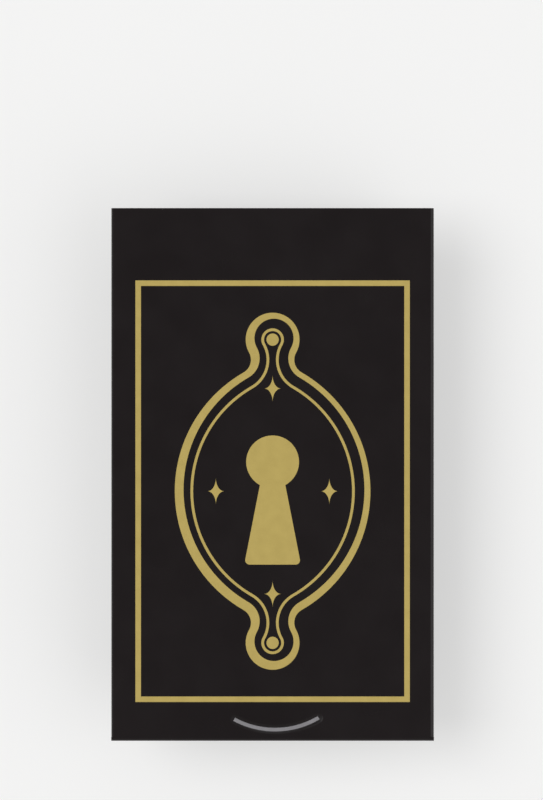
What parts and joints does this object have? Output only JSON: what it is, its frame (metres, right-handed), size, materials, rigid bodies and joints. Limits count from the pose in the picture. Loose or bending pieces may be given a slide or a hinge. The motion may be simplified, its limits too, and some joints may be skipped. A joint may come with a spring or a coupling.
{
  "type": "magnetic key holder box",
  "caption": "Flat black sheet-steel key box with a slide-off lid, gold border print, a curved thumb ridge and ferrite magnets crimped under its floor.",
  "frame": {"origin": "middle of the plane of the two magnets' faces, which is the box's underside, under the middle of the closed lid", "axes": "+Z out of the lid's face, +Y along the box away from the thumb ridge, +X to the right when the lid is seen with its ridge at the bottom"},
  "size_m": [0.066, 0.109, 0.0199],
  "materials": {
    "lid_enamel": "satin",
    "gold_print": "satin",
    "ridge_grey": "satin",
    "tray_enamel": "satin",
    "clip_steel": "satin",
    "ferrite": "matte",
    "rivet_steel": "satin"
  },
  "bodies": {
    "case": {"tray": "tray_enamel", "magnet_clip_front": "clip_steel", "magnet_clip_rear": "clip_steel", "magnet_front": "ferrite", "magnet_rear": "ferrite", "rivet_front_left": "rivet_steel", "rivet_front_right": "rivet_steel", "rivet_rear_left": "rivet_steel", "rivet_rear_right": "rivet_steel"},
    "lid": {"slide_lid": "lid_enamel"}
  },
  "joints": [
    {"name": "lid_slide", "type": "slide", "parent": "case", "child": "lid", "axis": [0, -1, 0], "range_m": [0, 0.1]}
  ]
}
